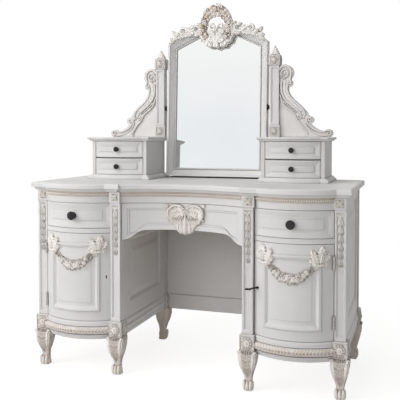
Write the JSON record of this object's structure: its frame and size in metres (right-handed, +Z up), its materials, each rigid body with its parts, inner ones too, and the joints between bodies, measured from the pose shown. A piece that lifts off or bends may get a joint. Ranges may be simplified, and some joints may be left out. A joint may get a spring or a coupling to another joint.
{
  "type": "dresser with mirror",
  "caption": "Painted kneehole dressing table with bow-front pedestals, small casket drawers and a tilting mirror between carved scroll brackets.",
  "frame": {"origin": "on the floor, under the middle of the whole", "axes": "+X to the right as seen from the front, +Y to the back, +Z up"},
  "size_m": [1.32, 0.6219, 1.5783],
  "materials": {
    "painted_wood": "satin grey-white paint",
    "carved_wood": "cream paint with a tan wash in the hollows",
    "plain_wood": "bare wood",
    "black_iron": "blackened",
    "brass": "aged",
    "mirror": "silvered glass"
  },
  "bodies": {
    "carcass": {"table_top": "painted_wood", "inner_front_posts": "painted_wood", "outer_front_posts": "painted_wood", "back_posts": "painted_wood", "front_legs": "painted_wood", "back_legs": "painted_wood", "inner_side_panels": "painted_wood", "outer_side_panels": "painted_wood", "back_panels": "painted_wood", "back_rails": "painted_wood", "frieze_rails": "painted_wood", "drawer_rails": "painted_wood", "front_base_mouldings": "painted_wood", "side_base_mouldings": "painted_wood", "casket_bases": "painted_wood", "casket_caps": "painted_wood", "casket_cases": "painted_wood", "mirror_posts": "painted_wood", "husk_drops": "carved_wood", "carved_rosettes": "carved_wood", "pearl_strips": "carved_wood", "post_finials": "carved_wood", "scroll_brackets": "carved_wood", "pedestal_floors": "plain_wood", "pedestal_shelves": "plain_wood", "drawer_runners": "plain_wood", "lock_strikes": "plain_wood", "hinge_post_leaves": "brass"},
    "left_drawer": {"left_drawer_front": "painted_wood", "left_drawer_box": "plain_wood", "left_drawer_knob": "black_iron"},
    "right_drawer": {"right_drawer_front": "painted_wood", "right_drawer_box": "plain_wood", "right_drawer_knob": "black_iron"},
    "centre_drawer": {"centre_drawer_front": "painted_wood", "centre_drawer_box": "plain_wood", "centre_cartouche": "carved_wood"},
    "left_door": {"left_door": "painted_wood", "left_door_garland": "carved_wood", "left_door_hinge_leaves": "brass", "left_door_lock": "brass"},
    "right_door": {"right_door": "painted_wood", "right_door_garland": "carved_wood", "right_door_hinge_leaves": "brass", "right_door_lock": "brass"},
    "lock_bolt": {"right_lock_bolt": "brass"},
    "key": {"door_key": "black_iron"},
    "mirror": {"mirror_frame": "painted_wood", "mirror_glass": "mirror", "mirror_back_board": "plain_wood", "mirror_crest": "carved_wood", "mirror_pivots": "brass"},
    "left_lower_casket_drawer": {"left_lower_casket_drawer": "painted_wood", "left_lower_casket_knob": "black_iron"},
    "left_upper_casket_drawer": {"left_upper_casket_drawer": "painted_wood", "left_upper_casket_knob": "black_iron"},
    "right_lower_casket_drawer": {"right_lower_casket_drawer": "painted_wood", "right_lower_casket_knob": "black_iron"},
    "right_upper_casket_drawer": {"right_upper_casket_drawer": "painted_wood", "right_upper_casket_knob": "black_iron"}
  },
  "joints": [
    {"name": "left_drawer_slide", "type": "slide", "parent": "carcass", "child": "left_drawer", "axis": [0, -1, 0], "range_m": [0, 0.28]},
    {"name": "right_drawer_slide", "type": "slide", "parent": "carcass", "child": "right_drawer", "axis": [0, -1, 0], "range_m": [0, 0.28]},
    {"name": "centre_drawer_slide", "type": "slide", "parent": "carcass", "child": "centre_drawer", "axis": [0, -1, 0], "range_m": [0, 0.28]},
    {"name": "left_lower_casket_drawer_slide", "type": "slide", "parent": "carcass", "child": "left_lower_casket_drawer", "axis": [0, -1, 0], "range_m": [0, 0.11]},
    {"name": "left_upper_casket_drawer_slide", "type": "slide", "parent": "carcass", "child": "left_upper_casket_drawer", "axis": [0, -1, 0], "range_m": [0, 0.11]},
    {"name": "right_lower_casket_drawer_slide", "type": "slide", "parent": "carcass", "child": "right_lower_casket_drawer", "axis": [0, -1, 0], "range_m": [0, 0.11]},
    {"name": "right_upper_casket_drawer_slide", "type": "slide", "parent": "carcass", "child": "right_upper_casket_drawer", "axis": [0, -1, 0], "range_m": [0, 0.11]},
    {"name": "left_door_swing", "type": "hinge", "parent": "carcass", "child": "left_door", "pos_m": [-0.597, -0.237, 0.4], "axis": [0, 0, -1], "range_deg": [0, 105]},
    {"name": "right_door_swing", "type": "hinge", "parent": "carcass", "child": "right_door", "pos_m": [0.597, -0.237, 0.4], "axis": [0, 0, 1], "range_deg": [0, 105]},
    {"name": "mirror_tilt", "type": "hinge", "parent": "carcass", "child": "mirror", "pos_m": [0, 0.252, 1.1], "axis": [-1, 0, 0], "range_deg": [-12, 14]},
    {"name": "key_turn", "type": "hinge", "parent": "right_door", "child": "key", "pos_m": [0.316, -0.24539, 0.4], "axis": [-0.5657, -0.8246, 0], "range_deg": [0, 180]},
    {"name": "lock_bolt_slide", "type": "slide", "parent": "right_door", "child": "lock_bolt", "axis": [-0.8246, 0.5657, 0], "range_m": [0, 0.012]}
  ],
  "couplings": [
    {"joint": "lock_bolt_slide", "follows": "key_turn", "m_per_rad": 0.003788}
  ]
}
